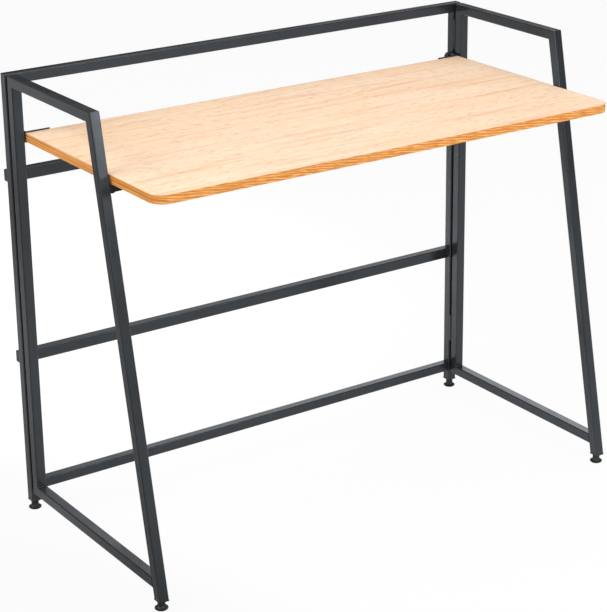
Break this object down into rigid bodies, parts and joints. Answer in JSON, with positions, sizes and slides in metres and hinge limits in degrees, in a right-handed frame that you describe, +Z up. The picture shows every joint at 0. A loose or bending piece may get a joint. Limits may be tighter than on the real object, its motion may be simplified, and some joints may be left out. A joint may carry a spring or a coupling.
{
  "type": "folding desk",
  "caption": "Folding desk: a welded square-tube back frame with hinged side frames on slanted legs, and a thin wood-look top that swings down into the back frame.",
  "frame": {"origin": "on the floor, under the middle of the bounding box", "axes": "+X across the desk to the sitter's right, +Y from the sitter to the back frame, +Z up"},
  "size_m": [1.0046, 0.5114, 0.833],
  "materials": {
    "frame_paint": "satin charcoal powder coat",
    "black_plastic": "moulded black",
    "black_nylon": "moulded black",
    "bare_steel": "zinc plated",
    "black_steel": "blackened screw",
    "laminate": "pale oak laminate, fine grain along X",
    "edge_band": "orange-brown wood-grain edge band"
  },
  "bodies": {
    "back_frame": {"left_back_upright": "frame_paint", "right_back_upright": "frame_paint", "top_rail": "frame_paint", "upper_rail": "frame_paint", "lower_rail": "frame_paint", "bottom_rail": "frame_paint", "rail_caps": "black_plastic", "fixed_hinge_leaves": "frame_paint", "hinge_pins": "bare_steel", "pivot_screws": "black_steel", "pivot_washers": "black_plastic", "pivot_nuts": "bare_steel", "rear_foot_plugs": "black_plastic"},
    "left_frame": {"left_side_upright": "frame_paint", "left_arm": "frame_paint", "left_front_leg": "frame_paint", "left_bottom_bar": "frame_paint", "left_hinge_leaves": "frame_paint", "left_catch": "black_nylon", "left_front_foot_plug": "black_plastic"},
    "right_frame": {"right_side_upright": "frame_paint", "right_arm": "frame_paint", "right_front_leg": "frame_paint", "right_bottom_bar": "frame_paint", "right_hinge_leaves": "frame_paint", "right_catch": "black_nylon", "right_front_foot_plug": "black_plastic"},
    "top": {"board": "laminate", "edge_band": "edge_band", "left_swing_bracket": "frame_paint", "right_swing_bracket": "frame_paint", "bracket_screws": "black_steel"},
    "left_rear_foot": {"left_rear_foot_pad": "black_plastic", "left_rear_foot_stem": "bare_steel"},
    "left_front_foot": {"left_front_foot_pad": "black_plastic", "left_front_foot_stem": "bare_steel"},
    "right_rear_foot": {"right_rear_foot_pad": "black_plastic", "right_rear_foot_stem": "bare_steel"},
    "right_front_foot": {"right_front_foot_pad": "black_plastic", "right_front_foot_stem": "bare_steel"}
  },
  "joints": [
    {"name": "top_fold", "type": "hinge", "parent": "back_frame", "child": "top", "pos_m": [0, 0.22765, 0.7225], "axis": [1, 0, 0], "range_deg": [-75, 90], "deforming": ["left_catch", "right_catch"]},
    {"name": "left_frame_swing", "type": "hinge", "parent": "back_frame", "child": "left_frame", "pos_m": [-0.4823, 0.2152, 0.4], "axis": [0, 0, -1], "range_deg": [0, 14]},
    {"name": "right_frame_swing", "type": "hinge", "parent": "back_frame", "child": "right_frame", "pos_m": [0.4823, 0.2152, 0.4], "axis": [0, 0, 1], "range_deg": [0, 14]},
    {"name": "left_rear_foot_level", "type": "slide", "parent": "back_frame", "child": "left_rear_foot", "axis": [0, 0, -1], "range_m": [-0.0015, 0.008]},
    {"name": "left_front_foot_level", "type": "slide", "parent": "left_frame", "child": "left_front_foot", "axis": [0, 0, -1], "range_m": [-0.0015, 0.008]},
    {"name": "right_rear_foot_level", "type": "slide", "parent": "back_frame", "child": "right_rear_foot", "axis": [0, 0, -1], "range_m": [-0.0015, 0.008]},
    {"name": "right_front_foot_level", "type": "slide", "parent": "right_frame", "child": "right_front_foot", "axis": [0, 0, -1], "range_m": [-0.0015, 0.008]}
  ]
}
